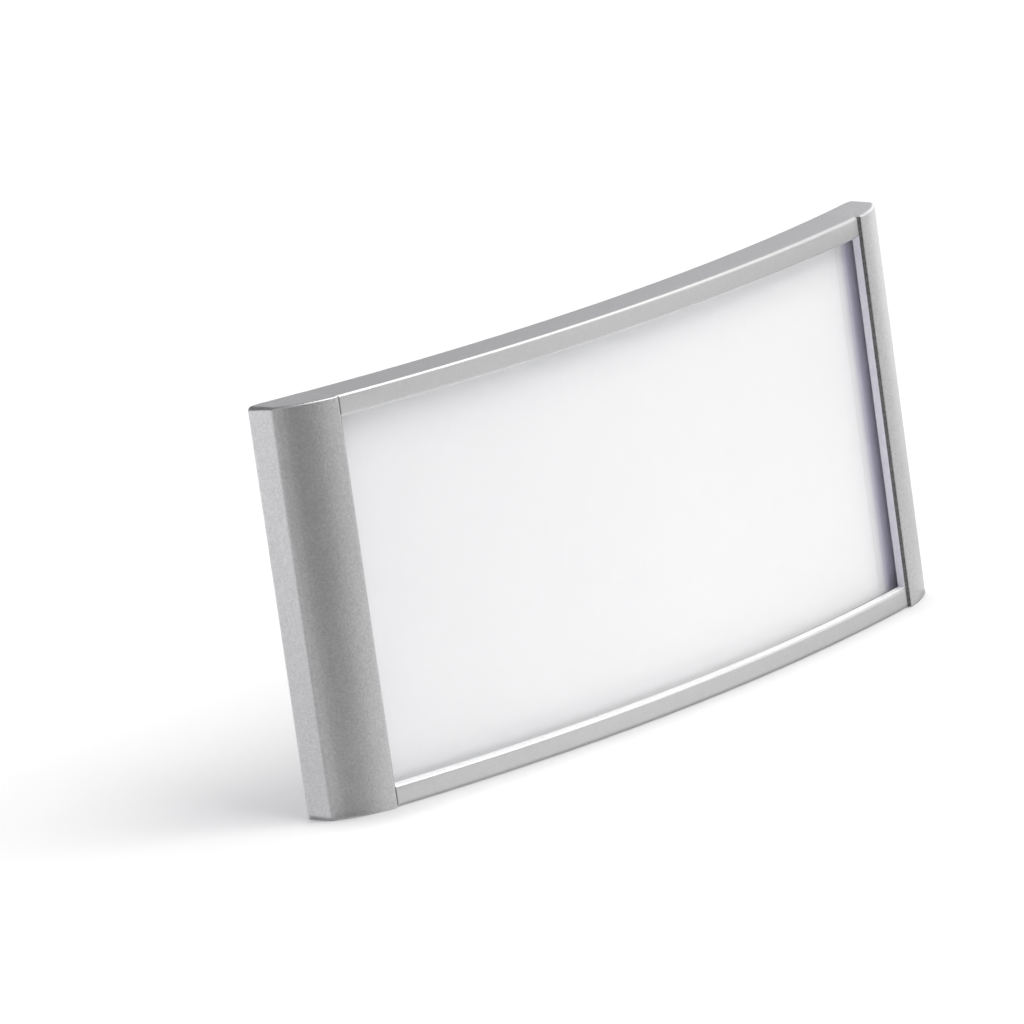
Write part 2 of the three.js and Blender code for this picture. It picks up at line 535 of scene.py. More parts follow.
@dataclass(frozen=True)
class ClearPlastic(Finish):
    """Clear glossy sheet that lets the card show through."""

    name: str = "clear plastic"
    tint: Colour = (0.99, 0.993, 1.0, 1.0)
    passing_tint: Colour = (0.97, 0.97, 0.975, 1.0)
    roughness: float = 0.025
    smear_roughness: float = 0.02
    ior: float = 1.49
    marks: float = 0.3

    def surface(self, make: NodeHelper, position: Socket) -> Socket:
        """Adds a clear body with a slightly uneven gloss, which casts hardly any shade.

        Args:
            make: Helper of the material's tree.
            position: Object coordinates.

        Returns:
            The clear surface.
        """
        marks = HandlingMarks.use(make, position, self.marks)
        feeds = {
            "Base Color": self.tint,
            "Transmission Weight": 1.0,
            "IOR": self.ior,
            "Roughness": make.plus(self.roughness, marks["Smear"], self.smear_roughness),
        }
        body = make.add("ShaderNodeBsdfPrincipled", feeds)
        clear = make.add("ShaderNodeBsdfTransparent", {"Color": self.passing_tint})
        path = make.add("ShaderNodeLightPath").outputs
        passes = make.math("MAXIMUM", path["Is Shadow Ray"], path["Is Diffuse Ray"])
        feeds = {"Fac": passes, 1: body.outputs["BSDF"], 2: clear.outputs["BSDF"]}
        return make.add("ShaderNodeMixShader", feeds).outputs["Shader"]


@dataclass(frozen=True)
class CardStock(Finish):
    """Uncoated white card with a fine fibre.

    Its lower edge is painted paler: painted light against the frame's shade, which the gap to the
    cover makes deeper than on a real card. Its ends are painted lilac: painted shade, like the shade
    beside the end blocks.
    """

    name: str = "white card"
    colour: Colour = (0.885, 0.885, 0.88, 1.0)
    shaded: Colour = (0.865, 0.865, 0.86, 1.0)
    # Painted light: a paler colour along the card's lower edge, against the frame's shade there.
    painted_low_light: Colour = (0.985, 0.985, 0.98, 1.0)
    painted_low_light_reach: float = 1.4 * MM
    # Painted shade: a lilac colour at both ends of the card, beside the end blocks.
    side_edge: Colour = (0.68, 0.655, 0.82, 1.0)
    painted_end_shade_reach: float = 1.6 * MM
    fibre_scale: float = 5200.0
    fibre_stretch: tuple[float, float, float] = (0.35, 1.0, 1.0)
    mottle_scale: float = 700.0
    smoothest: float = 0.72
    roughest: float = 0.88
    shine: float = 0.3
    relief: float = 0.02 * MM
    relief_strength: float = 0.35

    def surface(self, make: NodeHelper, position: Socket) -> Socket:
        """Adds fibre relief, a faint mottle, painted light along the lower edge and painted lilac shade at
        the ends.

        Args:
            make: Helper of the material's tree.
            position: Object coordinates.

        Returns:
            The card's surface.
        """
        fibre = make.add("ShaderNodeMapping", {"Vector": position, "Scale": self.fibre_stretch})
        threads = make.noise(fibre.outputs["Vector"], self.fibre_scale, detail=3.0)
        mottle = make.noise(position, self.mottle_scale, detail=3.0)
        x, _, z = make.split(position)
        window_low, window_end = SIZES.rail_face, SIZES.half_window
        # Mask of the painted light along the lower edge.
        low = make.step(z, window_low + self.painted_low_light_reach, window_low)
        # Mask of the painted lilac shade at the ends.
        side = make.step(make.math("ABSOLUTE", x), window_end - self.painted_end_shade_reach, window_end)
        stock = make.mix(mottle, self.colour, self.shaded)
        feeds = {
            # Painted light at the lower edge, then painted lilac shade at the ends.
            "Base Color": make.mix(side, make.mix(low, stock, self.painted_low_light), self.side_edge),
            "Roughness": make.spread(threads, self.smoothest, self.roughest),
            "Specular IOR Level": self.shine,
            "Normal": make.bump(threads, self.relief, self.relief_strength),
        }
        return make.add("ShaderNodeBsdfPrincipled", feeds).outputs["BSDF"]


@dataclass(frozen=True)
class MouldedPlastic(Finish):
    """Matt plastic with a fine spark-eroded texture."""

    name: str
    colour: Colour
    roughness: float = 0.5
    smoother: float = 0.06
    rougher: float = 0.08
    grain_roughness: float = 0.4
    smear_roughness: float = 0.1
    relief: float = 0.03 * MM
    relief_strength: float = 0.5
    grain: float = 0.05
    grain_range: tuple[float, float] = (-0.9, 1.9)
    pore_scale: float = 3600.0
    pore_weight: float = 0.8
    mottle_scale: float = 240.0
    mottle_weight: float = 0.2
    marks: float = 0.6

    def _shaded(self, factor: float) -> Colour:
        """Gives the plastic's colour times a factor."""
        return (*(channel * factor for channel in self.colour[:3]), 1.0)

    def surface(self, make: NodeHelper, position: Socket) -> Socket:
        """Adds texture relief, a grained colour and marks of handling.

        Args:
            make: Helper of the material's tree.
            position: Object coordinates.

        Returns:
            The moulded surface.
        """
        pores = make.noise(position, self.pore_scale, detail=3.0)
        mottle = make.noise(position, self.mottle_scale)
        marks = HandlingMarks.use(make, position, self.marks)
        patchy = make.plus(make.math("MULTIPLY", mottle, self.mottle_weight), pores, self.pore_weight)
        grained = make.spread(patchy, *self.grain_range)
        uneven = self.grain * self.grain_roughness
        low, high = self.roughness - self.smoother - uneven, self.roughness + self.rougher + uneven
        feeds = {
            "Base Color": make.mix(grained, self._shaded(1.0 + self.grain), self._shaded(1.0 - self.grain)),
            "Roughness": make.plus(make.spread(pores, low, high), marks["Smear"], self.smear_roughness),
            "Normal": make.bump(pores, self.relief, self.relief_strength),
        }
        return make.add("ShaderNodeBsdfPrincipled", feeds).outputs["BSDF"]


BLOCK_PAINT = SilverPaint(
    name="silver paint, coarse", roughness=0.31, flake_size=0.15 * MM, contrast=0.3, relief=0.022 * MM
)
RAIL_PAINT = SilverPaint(name="silver paint, fine")
LIP_RELIEF = 0.008 * MM
# Pale lilac wall beside the window: partly a lighter wall, partly painted light on a wall that the lamps
# leave in shade; its lilac is painted shade.
PALE_LIP_PAINTED_LIGHT = MouldedPlastic(
    name="pale lip, painted light and shade", colour=(0.78, 0.765, 0.84, 1.0), roughness=0.45, relief=LIP_RELIEF
)
# Near-white band on the rails' window edges: partly a lighter lip, partly a painted highlight.
BRIGHT_LIP_PAINTED_HIGHLIGHT = MouldedPlastic(
    name="bright lip, painted highlight", colour=(0.93, 0.93, 0.94, 1.0), roughness=0.4, relief=LIP_RELIEF
)
# Dark step at the joint: painted shade of a deep slot, partly a bare edge's own darker plastic.
SEAM_PAINTED_SHADE = MouldedPlastic(name="seam with painted shade", colour=(0.11, 0.11, 0.112, 1.0), roughness=0.55, grain=0.5)
COVER_PLASTIC = ClearPlastic()
CARD = CardStock()
# Grey plastic of the back plate, lightened and tinted lilac: painted lilac shade where it shows beside the
# card.
PLATE_PLASTIC_PAINTED_SHADE = MouldedPlastic(name="grey moulded plastic, painted lilac shade", colour=(0.42, 0.41, 0.46, 1.0), grain=0.12)
BAR_PLASTIC = MouldedPlastic(
    name="black moulded plastic",
    colour=(0.034, 0.034, 0.037, 1.0),
    roughness=0.42,
    relief=0.08 * MM,
    grain=0.3,
)


class MeshTools:
    """Steps that finish a mesh in the same way for every piece."""

    @staticmethod
    def new_object(name: str, mesh: bpy.types.Mesh) -> Piece:
        """Links a new object at the origin.

        Args:
            name: Name of the object and its mesh.
            mesh: Its mesh.

        Returns:
            The object.
        """
        mesh.name = name
        made = bpy.data.objects.new(name, mesh)
        bpy.context.scene.collection.objects.link(made)
        return made

    @staticmethod
    def from_bmesh(name: str, bm: bmesh.types.BMesh) -> Piece:
        """Turns a bmesh into an object.

        Args:
            name: Name of the object.
            bm: The bmesh, which is freed.

        Returns:
            The object.
        """
        bmesh.ops.recalc_face_normals(bm, faces=bm.faces)
        mesh = bpy.data.meshes.new(name)
        bm.to_mesh(mesh)
        bm.free()
        return MeshTools.new_object(name, mesh)

    @staticmethod
    def freeze(piece: Piece) -> None:
        """Replaces the object's mesh by its evaluated one and removes the modifiers.

        Args:
            piece: Object with live modifiers.
        """
        graph = bpy.context.evaluated_depsgraph_get()
        graph.update()
        mesh = bpy.data.meshes.new_from_object(piece.evaluated_get(graph))
        piece.modifiers.clear()
        old = piece.data
        piece.data = mesh
        mesh.name = piece.name
        bpy.data.meshes.remove(old)

    @staticmethod
    def smooth(piece: Piece, angle: float = 30.0) -> None:
        """Shades the piece smooth, with sharp edges and weighted normals.

        Args:
            piece: Object to shade.
            angle: Edges that turn more than this many degrees stay sharp.
        """
        for polygon in piece.data.polygons:
            polygon.use_smooth = True
        piece.data.set_sharp_from_angle(angle=math.radians(angle))
        weighted = piece.modifiers.new("weighted", "WEIGHTED_NORMAL")
        weighted.keep_sharp = True
        weighted.weight = 100
        MeshTools.freeze(piece)

    @staticmethod
    def dress(piece: Piece, finish: Finish) -> None:
        """Gives the whole piece one finish.

        Args:
            piece: Object to dress.
            finish: The finish.
        """
        piece.data.materials.clear()
        piece.data.materials.append(finish.material())

    @staticmethod
    def dress_part(piece: Piece, finish: Finish, chosen: Callable[[Vector, Vector], bool]) -> None:
        """Gives some faces of a dressed piece a second finish.

        Args:
            piece: Object that has its main finish.
            finish: The finish of the chosen faces.
            chosen: Tells from a face's middle and normal whether it is chosen.
        """
        piece.data.materials.append(finish.material())
        index = len(piece.data.materials) - 1
        for polygon in piece.data.polygons:
            if chosen(polygon.center, polygon.normal):
                polygon.material_index = index

    @staticmethod
    def hand_over(piece: Piece, slot: str, *nodes: str) -> None:
        """Hangs the piece on the body and hides the imported parts that it stands for.

        Args:
            piece: Finished object.
            slot: The record's material slot; not used.
            *nodes: Nodes of the part that it stands for.
        """
        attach(piece, BODY)
        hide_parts(*nodes)
        LOG.info("%s: %d faces", piece.name, len(piece.data.polygons))


class BowedSweep:
    """Geometry Nodes tree that sweeps a section along the badge and bows it."""

    _tree: NodeTree | None = None
    FACE_DEPTH = 0.5 * MM
    INPUTS = {
        "Half Width": "Float",
        "Back Radius": "Float",
        "Bow Centre": "Float",
        "Path Points": "Int",
        "Face Layer": "Float",
        "End Rounding": "Float",
    }

    @classmethod
    def tree(cls) -> NodeTree:
        """Gives the tree, and builds it the first time.

        Returns:
            The node tree.
        """
        if cls._tree is None:
            cls._tree = cls._build()
        return cls._tree

    @staticmethod
    def _leg(make: NodeHelper, longest: Socket, other: Socket) -> Socket:
        """Short side of a right-angled triangle, from its longest side and its other one.

        Args:
            make: Helper of the tree.
            longest: Length of the longest side.
            other: Length of the other short side.

        Returns:
            The length, 0 where there is no such triangle.
        """
        squares = (make.math("MULTIPLY", side, side) for side in (longest, other))
        return make.math("SQRT", make.math("MAXIMUM", make.math("SUBTRACT", *squares), 0.0))

    @classmethod
    def _build(cls) -> NodeTree:
        """Builds the tree.

        Returns:
            A tree whose section is the modified object's own closed line: its X is the layer
            in front of the back, its Y is the height downward.
        """
        make = NodeHelper(bpy.data.node_groups.new("bowed sweep", "GeometryNodeTree"))
        make.declare("INPUT", {"Section": "Geometry", **cls.INPUTS})
        make.declare("OUTPUT", {"Piece": "Geometry"})
        given = make.given()
        ends = {"Start": (-1.0, 0.0, 0.0), "End": (1.0, 0.0, 0.0)}
        path = make.add("GeometryNodeCurvePrimitiveLine", ends)
        feeds = {"Curve": path.outputs["Curve"], "Count": given["Path Points"]}
        points = make.add("GeometryNodeResampleCurve", feeds)
        section = make.add("GeometryNodeMeshToCurve", {"Mesh": given["Section"]})
        feeds = {
            "Curve": points.outputs["Curve"],
            "Profile Curve": section.outputs["Curve"],
            "Fill Caps": True,
        }
        sweep = make.add("GeometryNodeCurveToMesh", feeds)
        x, y, z = make.split(make.add("GeometryNodeInputPosition").outputs[0])
        turn = make.math("SINE", make.math("MULTIPLY", x, math.pi / 2))
        along = make.math("MULTIPLY", turn, given["Half Width"])
        layer = make.math("MULTIPLY", y, -1.0)
        to_end = make.math("SUBTRACT", given["Half Width"], make.math("ABSOLUTE", along))
        rounding = given["End Rounding"]
        missing = make.math("MAXIMUM", make.math("SUBTRACT", rounding, to_end), 0.0)
        drop = make.math("SUBTRACT", rounding, cls._leg(make, rounding, missing))
        near_face = make.math("SUBTRACT", given["Face Layer"], layer)
        share = make.math("SUBTRACT", 1.0, make.math("DIVIDE", near_face, cls.FACE_DEPTH), clamp=True)
        layered = make.math("SUBTRACT", layer, make.math("MULTIPLY", drop, share))
        radius = make.math("ADD", given["Back Radius"], layered)
        bowed = make.math("SUBTRACT", given["Bow Centre"], cls._leg(make, radius, along))
        joined = make.add("ShaderNodeCombineXYZ", {"X": along, "Y": bowed, "Z": z})
        feeds = {"Geometry": sweep.outputs["Mesh"], "Position": joined.outputs["Vector"]}
        move = make.add("GeometryNodeSetPosition", feeds)
        make.add("NodeGroupOutput", {"Piece": move.outputs["Geometry"]})
        return make.tree

    @classmethod
    def make_piece(
        cls,
        name: str,
        section: Sequence[PlanPoint],
        half_width: float,
        face_layer: float,
        end_rounding: float,
        finish: Finish,
        path_points: int,
    ) -> Piece:
        """Sweeps a section into a finished piece.

        Args:
            name: Name of the piece.
            section: Closed line of (layer, height) points.
            half_width: Half of the piece's length along the badge.
            face_layer: Layer of the front face, which the end rounding takes down.
            end_rounding: Radius of the rounding at both ends of the front face.
            finish: The piece's finish.
            path_points: Number of sections along the path.

        Returns:
            The piece as a plain mesh.
        """
        mesh = bpy.data.meshes.new(name)
        count = len(section)
        corners = [(layer, -height, 0.0) for layer, height in section]
        mesh.from_pydata(corners, [(i, (i + 1) % count) for i in range(count)], [])
        piece = MeshTools.new_object(name, mesh)
        modifier = piece.modifiers.new("bowed sweep", "NODES")
        modifier.node_group = cls.tree()
        values = {
            "Half Width": half_width,
            "Back Radius": SIZES.back_radius,
            "Bow Centre": SIZES.bow_centre,
            "Path Points": path_points,
            "Face Layer": face_layer,
            "End Rounding": end_rounding,
        }
        for item in cls.tree().interface.items_tree:
            if item.in_out == "INPUT" and item.name in values:
                modifier[item.identifier] = values[item.name]
        MeshTools.freeze(piece)
        cls._point_outward(piece)
        MeshTools.smooth(piece)
        MeshTools.dress(piece, finish)
        return piece

    @staticmethod
    def _point_outward(piece: Piece) -> None:
        """Merges doubles and turns every face outward.

        Args:
            piece: Object with a closed mesh.
        """
        bm = bmesh.new()
        bm.from_mesh(piece.data)
        bmesh.ops.remove_doubles(bm, verts=bm.verts, dist=SAME_PLACE)
        bmesh.ops.recalc_face_normals(bm, faces=bm.faces)
        if bm.calc_volume(signed=True) < 0:
            bmesh.ops.reverse_faces(bm, faces=bm.faces)
        bm.to_mesh(piece.data)
        bm.free()


class Rounding:
    """Rounds the corners of closed lines."""

    @staticmethod
    def corner(
        before: PlanPoint, corner: PlanPoint, after: PlanPoint, radius: float, steps: int
    ) -> list[PlanPoint]:
        """Replaces a corner by an arc.

        Args:
            before: Point before the corner.
            corner: The corner.
            after: Point after the corner.
            radius: Radius of the arc.
            steps: Number of straight runs in the arc.

        Returns:
            The points of the arc, both ends included.
        """
        middle = Vector(corner)
        first = (Vector(before) - middle).normalized()
        last = (Vector(after) - middle).normalized()
        half = math.acos(max(-1.0, min(1.0, first.dot(last)))) / 2
        centre = middle + (first + last).normalized() * (radius / math.sin(half))
        start = middle + first * (radius / math.tan(half)) - centre
        end = middle + last * (radius / math.tan(half)) - centre
        sweep = start.angle_signed(end)
        begin = math.atan2(start.y, start.x)
        points = []
        for step in range(steps + 1):
            angle = begin - sweep * step / steps
            points.append((centre.x + radius * math.cos(angle), centre.y + radius * math.sin(angle)))
        return points

    @classmethod
    def closed(cls, line: Sequence[tuple[PlanPoint, float]], steps: int = 5) -> list[PlanPoint]:
        """Rounds each corner of a closed line by its own radius.

        Args:
            line: Corner points, each with its radius. A radius of 0 leaves it sharp.
            steps: Number of straight runs in each arc.

        Returns:
            The rounded closed line.
        """
        result: list[PlanPoint] = []
        count = len(line)
        for index, (point, radius) in enumerate(line):
            if radius <= 0:
                result.append(point)
                continue
            before, after = line[index - 1][0], line[(index + 1) % count][0]
            result.extend(cls.corner(before, point, after, radius, steps))
        return result


@dataclass
class Rail:
    """Top or bottom rail of the frame, between the end blocks."""

    level: Level
    outer_front_rounding: float = 0.32 * MM
    outer_back_rounding: float = 0.25 * MM
    window_edge_rounding: float = 0.28 * MM
    end_rounding: float = 0.07 * MM
    path_points: int = 129
    facing_window: float = 0.75

    def section(self) -> list[PlanPoint]:
        """Section of the rail as layer and height, with the lip in front.

        Returns:
            The closed line, counted round the section in one direction.
        """
        depth, wall, face = SIZES.rail_depth, SIZES.outer_wall, SIZES.rail_face
        lip_back = depth - SIZES.visible_lip
        corners = [
            ((0.0, 0.0), self.outer_back_rounding),
            ((depth, 0.0), self.outer_front_rounding),
            ((depth, face), self.window_edge_rounding),
            ((lip_back, face), 0.0),
            ((lip_back, wall), 0.0),
            ((0.0, wall), 0.0),
        ]
        line = Rounding.closed(corners)
        if self.level is Level.TOP:
            line = [(layer, SIZES.height - height) for layer, height in reversed(line)]
        return line

    def _at_window(self, centre: Vector, normal: Vector) -> bool:
        """Tells whether a face lies at the window's edge and looks into the window.

        Args:
            centre: Middle of the face.
            normal: Direction that the face looks in.

        Returns:
            True for the faces of the bright band: partly a lighter lip, partly a painted highlight.
        """
        bottom = self.level is Level.BOTTOM
        edge = SIZES.rail_face if bottom else SIZES.height - SIZES.rail_face
        inward = normal.z if bottom else -normal.z
        return inward > self.facing_window and abs(centre.z - edge) < self.window_edge_rounding

    def build(self) -> None:
        """Builds and dresses the rail."""
        piece = BowedSweep.make_piece(
            f"{self.level.value}_rail",
            self.section(),
            SIZES.half_window,
            SIZES.rail_depth,
            self.end_rounding,
            RAIL_PAINT,
            self.path_points,
        )
        # The window's edges get a near-white band: partly a lighter lip, partly a painted highlight.
        MeshTools.dress_part(piece, BRIGHT_LIP_PAINTED_HIGHLIGHT, self._at_window)
        MeshTools.hand_over(piece, "silver_paint", "frame")


@dataclass
class EndBlock:
    """Rounded block at one end of the frame."""

    end: End
    side_depth: float = 2.95 * MM
    side_lean: float = 0.3 * MM
    side_edge: float = 0.9 * MM
    side_edge_room: float = 0.4 * MM
    side_edge_steps: int = 8
    back_edge: float = 0.35 * MM
    slant_start: float = 50.0
    slant_end: float = 17.0
    proud: float = 0.22 * MM
    step_width: float = 0.28 * MM
    groove_depth: float = 0.05 * MM
    step_edge: float = 0.14 * MM
    step_edge_room: float = 0.02 * MM
    step_edge_steps: int = 4
    joint_rim: float = 0.14 * MM
    slant_rim: float = 0.2 * MM
    side_rim: float = 0.24 * MM
    back_rim: float = 0.2 * MM
    corner_rim: float = 0.4 * MM
    corner_lead: float = 1.2 * MM
    back_blend: float = 1.0 * MM
    corner_blend: float = 0.8 * MM
    joint_blend: float = 0.9 * MM
    side_lead: float = 2.0 * MM
    side_blend: float = 1.6 * MM
    flat_ring: float = 0.06 * MM
    rim_steps: int = 6
    slant_points: int = 28
    back_points: int = 13
    corner_points: int = 9
    cutter_points: int = 9
    cutter_overlap: float = 1.0 * MM
    smooth_angle: float = 28.0
    joint_gap: float = 0.01 * MM
    facing_joint: float = 0.95
    facing_step: float = 0.6
    BACK_EDGE_ROOM = 3
    STEP_EDGE_AIM = 3
    TIGHTEST_TURN = 0.5
    UNTANGLE_ROUNDS = 12

    def slant(self, start: Vector, side: Vector) -> list[PlanPoint]:
        """Curved slant from the step at the joint to the side face.

        Args:
            start: Where it begins, in front of the joint.
            side: Where it ends, at the side face.

        Returns:
            The points of the curve.
        """
        steep, shallow = (math.tan(math.radians(turn)) for turn in (self.slant_start, self.slant_end))
        run, rise = side.x - start.x, side.y - start.y
        first_run = (run * steep - rise) / (steep - shallow)
        bend = Vector((start.x + first_run, start.y + first_run * shallow))
        curve = []
        for index in range(self.slant_points + 1):
            share = index / self.slant_points
            point = start * (1 - share) ** 2 + bend * (2 * share * (1 - share)) + side * share**2
            curve.append((point.x, point.y))
        return curve

    def outline(self) -> list[PlanPoint]:
        """Plan outline of the right block, from the groove round to the back.

        Returns:
            Closed line. Its first and last points lie on the joint with the rails.
        """
        half, inner = SIZES.half_length, SIZES.half_window
        rail_front = SIZES.bow_y(SIZES.rail_depth, inner)
        back_y = SIZES.depth_shift
        groove = (inner, rail_front + self.groove_depth)
        start = Vector((inner + self.step_width, rail_front - self.proud))
        side = Vector((half - self.side_lean, back_y - self.side_depth))
        curve = self.slant(start, side)
        back_points = []
        back_start = half - self.back_edge * self.BACK_EDGE_ROOM
        for index in range(self.back_points):
            x = back_start - (back_start - inner) * index / (self.back_points - 1)
            back_points.append((x, SIZES.bow_y(0.0, x)))
        side_corner, back_corner = (side.x, side.y), (half, back_y)
        edge_start = Rounding.corner(
            groove, curve[0], curve[self.STEP_EDGE_AIM], self.step_edge, self.step_edge_steps
        )
        first_x = edge_start[-1][0] + self.step_edge_room
        last_x = side.x - self.side_edge_room
        trimmed = [point for point in curve[1:-1] if first_x < point[0] < last_x]
        edge_side = Rounding.corner(
            trimmed[-1], side_corner, back_corner, self.side_edge, self.side_edge_steps
        )
        edge_back = Rounding.corner(
            side_corner, back_corner, back_points[0], self.back_edge, self.corner_points - 1
        )
        return [groove, *edge_start, *trimmed, *edge_side, *edge_back, *back_points]

    @staticmethod
    def _blend(low: float, high: float, place: float, reach: float) -> float:
        """Goes evenly from one radius to another.

        Args:
            low: Radius where the place is 0 or less.
            high: Radius where the place is the reach or more.
            place: How far along the blend the point is.
            reach: Length of the blend.

        Returns:
            The radius.
        """
        return low + (high - low) * min(1.0, max(0.0, place / reach))

    def rims(self, line: Sequence[PlanPoint]) -> list[float]:
        """Radius of the rounded rim at each point of the outline.

        Args:
            line: Outline of the right block.

        Returns:
            One radius for each point.
        """
        half, inner = SIZES.half_length, SIZES.half_window
        back_start = len(line) - self.back_points
        back_y = SIZES.depth_shift
        radii = []
        for index, (x, y) in enumerate(line):
            if index >= back_start:
                place = x - half + self.corner_lead
                radius = self._blend(self.back_rim, self.corner_rim, place, self.back_blend)
            elif index >= back_start - self.corner_points:
                place = y - back_y + self.corner_lead
                radius = self._blend(self.side_rim, self.corner_rim, place, self.corner_blend)
            else:
                front = self._blend(self.joint_rim, self.slant_rim, x - inner, self.joint_blend)
                radius = self._blend(front, self.side_rim, x - half + self.side_lead, self.side_blend)
            radii.append(radius)
        return radii

    @staticmethod
    def _normals(line: Sequence[PlanPoint]) -> list[PlanPoint]:
        """Inward normals of the runs of an open line with the solid on its left.

        Args:
            line: The line.

        Returns:
            One unit normal for each run.
        """
        normals = []
        for (x0, y0), (x1, y1) in zip(line, line[1:]):
            length = math.hypot(x1 - x0, y1 - y0)
            normals.append((-(y1 - y0) / length, (x1 - x0) / length))
        return normals

    @classmethod
    def _untangle(cls, moved: list[PlanPoint], normals: Sequence[PlanPoint]) -> None:
        """Gathers the points of each run that an inset turned over into one point.

        Args:
            moved: Points of the inset line, which are changed.
            normals: Inward normals of the line's runs.
        """
        last = len(normals)
        for _ in range(cls.UNTANGLE_ROUNDS):
            turned = [
                (x1 - x0) * normal[1] - (y1 - y0) * normal[0] < 0
                for (x0, y0), (x1, y1), normal in zip(moved, moved[1:], normals)
            ]
            if not any(turned):
                break
            index = 0
            while index < last:
                if not turned[index]:
                    index += 1
                    continue
                stop = index
                while stop < last and turned[stop]:
                    stop += 1
                run = moved[index : stop + 1]
                middle = (sum(x for x, _ in run) / len(run), sum(y for _, y in run) / len(run))
                for i in range(max(index, 1), min(stop, last - 1) + 1):
                    moved[i] = middle
                index = stop + 1

    @classmethod
    def _inset(cls, line: Sequence[PlanPoint], distances: Sequence[float]) -> list[PlanPoint]:
        """Moves the outline inward, and keeps its ends on the joint plane.

        Args:
            line: Open line from the groove to the back, with the solid on its left.
            distances: How far each point moves.

        Returns:
            The moved line, in which a corner that is used up becomes one point.
        """
        if max(distances) <= 0:
            return list(line)
        normals = cls._normals(line)
        last = len(line) - 1
        moved: list[PlanPoint] = [(line[0][0], line[0][1] + distances[0])]
        for index in range(1, last):
            (ax, ay), (bx, by) = normals[index - 1], normals[index]
            reach = distances[index] / max(1 + ax * bx + ay * by, cls.TIGHTEST_TURN)
            x, y = line[index]
            moved.append((x + reach * (ax + bx), y + reach * (ay + by)))
        moved.append((line[last][0], line[last][1] + distances[last] / normals[-1][1]))
        cls._untangle(moved, normals)
        return moved

    def body(self) -> Piece:
        """Builds the block's outside, with rounded rims at its top and bottom.

        Returns:
            The solid block.
        """
        line = self.outline()
        radii = self.rims(line)
        lower = [(self._inset(line, [radius + self.flat_ring for radius in radii]), [0.0] * len(radii))]
        for step in range(self.rim_steps + 1):
            angle = math.pi / 2 * step / self.rim_steps
            insets = [radius * (1 - math.sin(angle)) for radius in radii]
            heights = [radius * (1 - math.cos(angle)) for radius in radii]
            lower.append((self._inset(line, insets), heights))
        upper = [(ring, [SIZES.height - z for z in heights]) for ring, heights in reversed(lower)]
        bm = bmesh.new()
        loops = [
            [bm.verts.new((x * self.end.value, y, z)) for (x, y), z in zip(ring, heights)]
            for ring, heights in lower + upper
        ]
        for low, high in zip(loops, loops[1:]):
            for i in range(len(line) - 1):
                bm.faces.new((low[i], low[i + 1], high[i + 1], high[i]))
        back_seam = [loop[-1] for loop in reversed(loops[1:])]
        bm.faces.new([loops[0][-1], *(loop[0] for loop in loops), *back_seam])
        bm.faces.new(list(reversed(loops[0])))
        bm.faces.new(loops[-1])
        bmesh.ops.remove_doubles(bm, verts=bm.verts, dist=SAME_PLACE)
        return MeshTools.from_bmesh(f"{self.end.name.lower()}_end_block", bm)

    def rebate(self) -> Piece:
        """Builds the space that the cover, the card and the plate take.

        Returns:
            The cutter.
        """
        bm = bmesh.new()
        front, back = SIZES.rail_depth - SIZES.visible_lip, -self.cutter_overlap
        low, high = SIZES.outer_wall, SIZES.height - SIZES.outer_wall
        places = [(front, low), (front, high), (back, high), (back, low)]
        columns = []
        for index in range(self.cutter_points):
            reach = (SIZES.rebate_reach + self.cutter_overlap) * index / (self.cutter_points - 1)
            x = SIZES.half_window - self.cutter_overlap + reach
            column = [(x * self.end.value, SIZES.bow_y(layer, x), z) for layer, z in places]
            columns.append([bm.verts.new(corner) for corner in column])
        for first, second in zip(columns, columns[1:]):
            for i in range(4):
                j = (i + 1) % 4
                bm.faces.new((first[i], first[j], second[j], second[i]))
        bm.faces.new(columns[0])
        bm.faces.new(list(reversed(columns[-1])))
        return MeshTools.from_bmesh("rebate_cutter", bm)

    def _beside_window(self, centre: Vector, normal: Vector) -> bool:
        """Tells whether a face of the joint plane looks into the window.

        Args:
            centre: Middle of the face.
            normal: Direction that the face looks in.

        Returns:
            True for the faces of the pale band, which carry painted light and lilac painted shade.
        """
        on_joint = abs(abs(centre.x) - SIZES.half_window) < self.joint_gap
        return on_joint and -self.end.value * normal.x > self.facing_joint

    def _on_step(self, centre: Vector, normal: Vector) -> bool:
        """Tells whether a face belongs to the small step at the joint.

        Args:
            centre: Middle of the face.
            normal: Direction that the face looks in.

        Returns:
            True for the faces of the seam that carry painted shade.
        """
        on_step = self.joint_gap < abs(centre.x) - SIZES.half_window < self.step_width
        return on_step and -self.end.value * normal.x > self.facing_step and normal.y < 0.0

    def build(self) -> None:
        """Builds and dresses the block."""
        piece = self.body()
        cutter = self.rebate()
        cut = piece.modifiers.new("rebate", "BOOLEAN")
        cut.operation = "DIFFERENCE"
        cut.solver = "EXACT"
        cut.object = cutter
        MeshTools.freeze(piece)
        bpy.data.objects.remove(cutter)
        MeshTools.smooth(piece, self.smooth_angle)
        MeshTools.dress(piece, BLOCK_PAINT)
        # Painted light and lilac painted shade on the wall beside the window.
        MeshTools.dress_part(piece, PALE_LIP_PAINTED_LIGHT, self._beside_window)
        # Painted shade of a deep slot on the step at the joint.
        MeshTools.dress_part(piece, SEAM_PAINTED_SHADE, self._on_step)
        MeshTools.hand_over(piece, "silver_paint", "frame")


